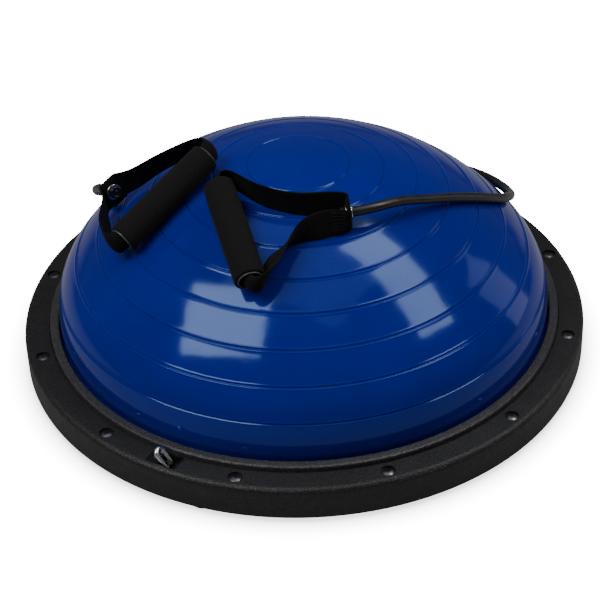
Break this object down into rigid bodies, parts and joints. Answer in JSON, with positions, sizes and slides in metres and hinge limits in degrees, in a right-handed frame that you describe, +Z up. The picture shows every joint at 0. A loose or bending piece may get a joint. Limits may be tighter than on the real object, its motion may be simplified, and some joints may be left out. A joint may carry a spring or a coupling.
{
  "type": "balance dome trainer",
  "caption": "Half-ball balance trainer: glossy ribbed air dome clamped to a round platform, with swinging anchor rings and a loose resistance tube ending in stirrup handles.",
  "frame": {"origin": "centre of the footprint on the floor, under the dome's axis", "axes": "+Z up along the dome's axis; the anchor rings lie on the Y axis, the front one at -Y"},
  "size_m": [0.5999, 0.6, 0.2492],
  "materials": {
    "platform": "black fine-grained moulding",
    "flange": "black fine-grained moulding, glossier on its rounded edge",
    "dome": "high gloss deep blue soft vinyl",
    "screw_steel": "black screw",
    "rubber": "matt black rubber",
    "saddle": "black moulding",
    "chrome": "bright plated wire",
    "webbing": "black flat woven webbing",
    "tube": "satin dark grey elastic tube",
    "stop": "black plug",
    "foam": "black closed-cell foam",
    "core": "dark grey plastic tube"
  },
  "bodies": {
    "base": {"platform_rim": "platform", "platform_floor": "platform", "platform_hub": "platform", "platform_ribs": "platform", "clamp_ring": "flange", "lip_ring": "flange", "dome_shell": "dome", "bladder_floor": "dome", "ring_screws": "screw_steel", "rubber_feet": "rubber", "valve_seat": "platform", "anchor_saddle_front": "saddle", "anchor_saddle_rear": "saddle", "saddle_screws": "screw_steel"},
    "front_link": {"anchor_ring_front": "chrome"},
    "rear_link": {"anchor_ring_rear": "chrome"},
    "plug": {"valve_plug": "rubber"},
    "band": {"resistance_tube": "tube", "strap_right": "webbing", "strap_left": "webbing", "grommet_right": "chrome", "grommet_left": "chrome", "tube_stop_right": "stop", "tube_stop_left": "stop"},
    "right_grip": {"grip_foam_right": "foam", "grip_core_right": "core"},
    "left_grip": {"grip_foam_left": "foam", "grip_core_left": "core"}
  },
  "joints": [
    {"name": "front_link_swing", "type": "hinge", "parent": "base", "child": "front_link", "pos_m": [0.004, -0.2835, 0.034], "axis": [0, 1, 0], "range_deg": [0, 88]},
    {"name": "rear_link_swing", "type": "hinge", "parent": "base", "child": "rear_link", "pos_m": [-0.004, 0.2835, 0.034], "axis": [0, -1, 0], "range_deg": [0, 88]},
    {"name": "valve_plug_pull", "type": "slide", "parent": "base", "child": "plug", "axis": [0, 0, -1], "range_m": [0, 0.011]},
    {"name": "band_lift", "type": "slide", "parent": "base", "child": "band", "axis": [0, 0, 1], "range_m": [0, 0.3]},
    {"name": "right_grip_spin", "type": "hinge", "parent": "band", "child": "right_grip", "pos_m": [0, -0.1315, 0.214], "axis": [0.6709, -0.6809, -0.2939], "continuous": true},
    {"name": "left_grip_spin", "type": "hinge", "parent": "band", "child": "left_grip", "pos_m": [-0.0985, -0.1015, 0.2085], "axis": [-0.3149, -0.8627, -0.3958], "continuous": true}
  ]
}
